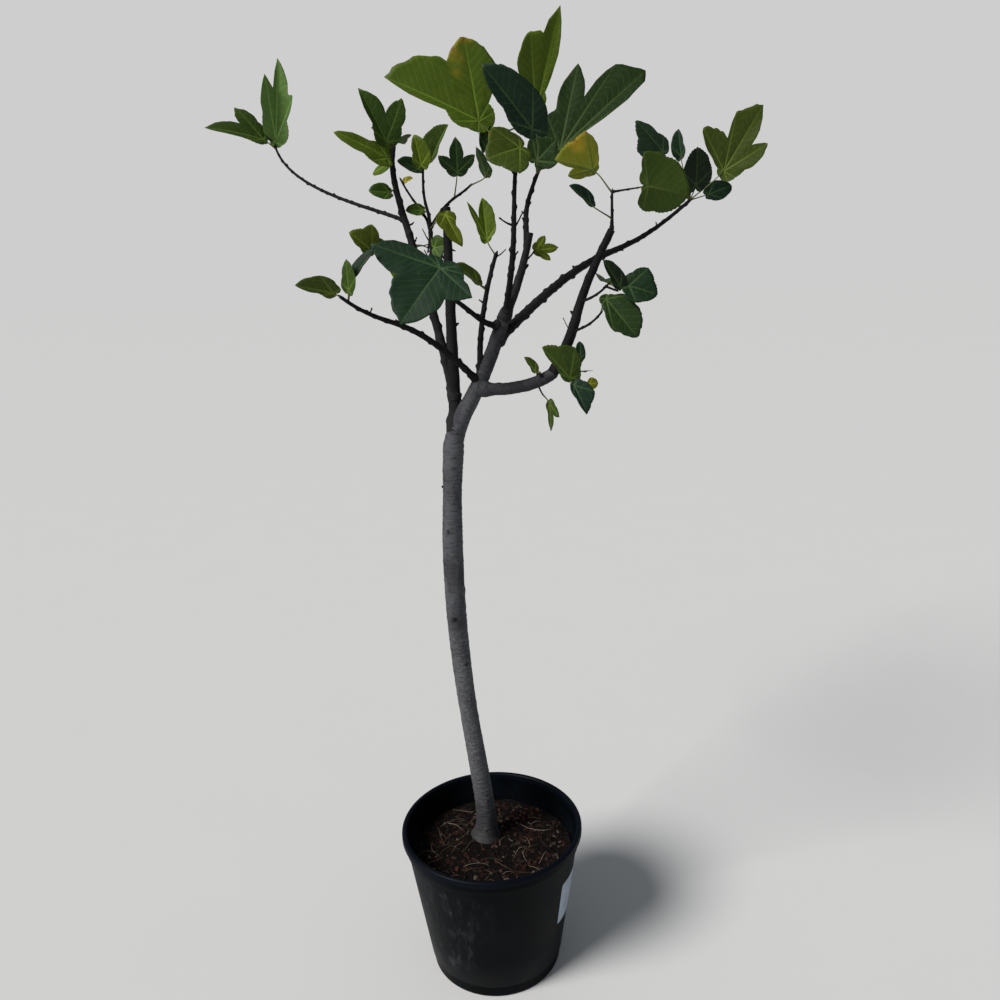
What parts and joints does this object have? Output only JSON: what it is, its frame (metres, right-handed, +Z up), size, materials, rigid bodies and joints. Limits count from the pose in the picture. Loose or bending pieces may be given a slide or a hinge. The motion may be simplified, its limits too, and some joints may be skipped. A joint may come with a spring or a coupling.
{
  "type": "potted fig tree",
  "caption": "Young tree with a bare leaning trunk, a forked crown of slender boughs and large lobed leaves, in a round tapered nursery pot of soil.",
  "frame": {"origin": "centre of the pot's flat underside", "axes": "+Z up the tree, -Y towards the front view, +X to the right of it"},
  "size_m": [1.1731, 0.6335, 1.9912],
  "materials": {
    "pot": "dull black moulded plastic",
    "soil": "damp dark potting soil with bark",
    "label": "blank pale blue sticker",
    "wood": "smooth grey bark",
    "leaf": "soft green leaves"
  },
  "bodies": {
    "root": {"pot": "pot", "soil": "soil", "label": "label", "trunk": "wood", "leader": "wood", "left_upright": "wood", "left_outer_bough": "wood", "left_inner_bough": "wood", "far_left_shoot": "wood", "left_long_bough": "wood", "front_shoot": "wood", "centre_stub": "wood", "front_left_bough": "wood", "left_rod": "wood", "right_rod": "wood", "right_low_bough": "wood", "right_upright": "wood", "right_long_bough": "wood", "far_left_leaves": "leaf", "left_outer_leaves": "leaf", "left_inner_leaves": "leaf", "front_leaves": "leaf", "left_tip_leaves": "leaf", "front_left_leaves": "leaf", "top_left_leaves": "leaf", "top_right_leaves": "leaf", "right_upper_leaves": "leaf", "right_tip_leaves": "leaf", "right_middle_leaves": "leaf", "right_lower_leaves": "leaf", "elbow_leaves": "leaf", "low_left_leaf": "leaf", "hanging_leaf": "leaf", "stub_leaf": "leaf"}
  },
  "joints": []
}
